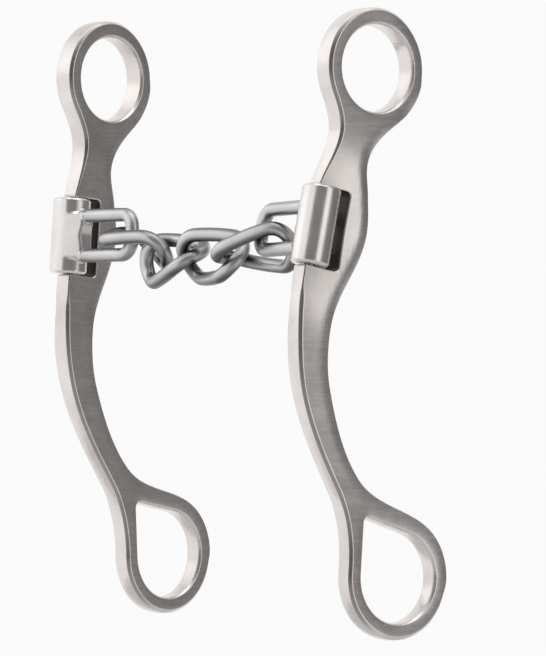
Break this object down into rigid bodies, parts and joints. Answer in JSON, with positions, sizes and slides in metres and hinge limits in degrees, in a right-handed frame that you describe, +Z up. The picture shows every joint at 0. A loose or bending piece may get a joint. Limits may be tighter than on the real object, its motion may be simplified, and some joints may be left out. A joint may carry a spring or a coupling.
{
  "type": "curb bit",
  "caption": "Curb bit with swept-back swinging cheeks, each with a headstall ring and a teardrop rein ring, hinged by pinned sleeves to a loose mouthpiece of twisted chain links.",
  "frame": {"origin": "midway between the middles of the two hinge sleeves, where the mouthpiece lies in the mouth", "axes": "+X across the mouth to the near cheek, +Y backwards, the way the rein rings sweep, +Z up to the headstall rings"},
  "size_m": [0.1561, 0.0745, 0.2052],
  "materials": {
    "cheek_steel": "satin brushed stainless steel",
    "sleeve_steel": "satin stainless steel, a little brighter",
    "pin_steel": "plain steel pin",
    "chain_steel": "smooth grey stainless wire"
  },
  "bodies": {
    "near_cheek_set": {"near_cheek": "cheek_steel", "near_hinge_pin": "pin_steel"},
    "off_cheek_set": {"off_cheek": "cheek_steel", "off_hinge_pin": "pin_steel"},
    "near_sleeve_set": {"near_sleeve": "sleeve_steel", "near_end_loop": "chain_steel"},
    "off_sleeve_set": {"off_sleeve": "sleeve_steel", "off_end_loop": "chain_steel"},
    "link_1": {"chain_link_1": "chain_steel"},
    "link_2": {"chain_link_2": "chain_steel"},
    "link_3": {"chain_link_3": "chain_steel"},
    "link_4": {"chain_link_4": "chain_steel"}
  },
  "joints": [
    {"name": "link_1_swing", "type": "hinge", "parent": "link_2", "child": "link_1", "pos_m": [-0.01414, 0.00119, -0.00405], "axis": [0, 1, 0], "range_deg": [-42, 24]},
    {"name": "off_sleeve_swing", "type": "hinge", "parent": "link_1", "child": "off_sleeve_set", "pos_m": [-0.03602, 0.00393, -0.00031], "axis": [0, 0, 1], "range_deg": [-18, 12]},
    {"name": "off_cheek_swivel", "type": "hinge", "parent": "off_sleeve_set", "child": "off_cheek_set", "pos_m": [-0.0675, 0, 0], "axis": [0, 0.0785, 0.9969], "range_deg": [-50, 170]},
    {"name": "link_3_swing", "type": "hinge", "parent": "link_2", "child": "link_3", "pos_m": [0.00066, -0.00174, -0.00788], "axis": [0, 0, 1], "range_deg": [-16, 18]},
    {"name": "link_4_swing", "type": "hinge", "parent": "link_3", "child": "link_4", "pos_m": [0.0234, 0.0003, -0.0094], "axis": [0, 1, 0], "range_deg": [-10, 12]},
    {"name": "near_sleeve_swing", "type": "hinge", "parent": "link_4", "child": "near_sleeve_set", "pos_m": [0.04, 0.001, -0.004], "axis": [0, 0, 1], "range_deg": [-40, 2]},
    {"name": "near_cheek_swivel", "type": "hinge", "parent": "near_sleeve_set", "child": "near_cheek_set", "pos_m": [0.0675, 0, 0], "axis": [0, 0.2079, 0.9781], "range_deg": [-175, 40]}
  ]
}
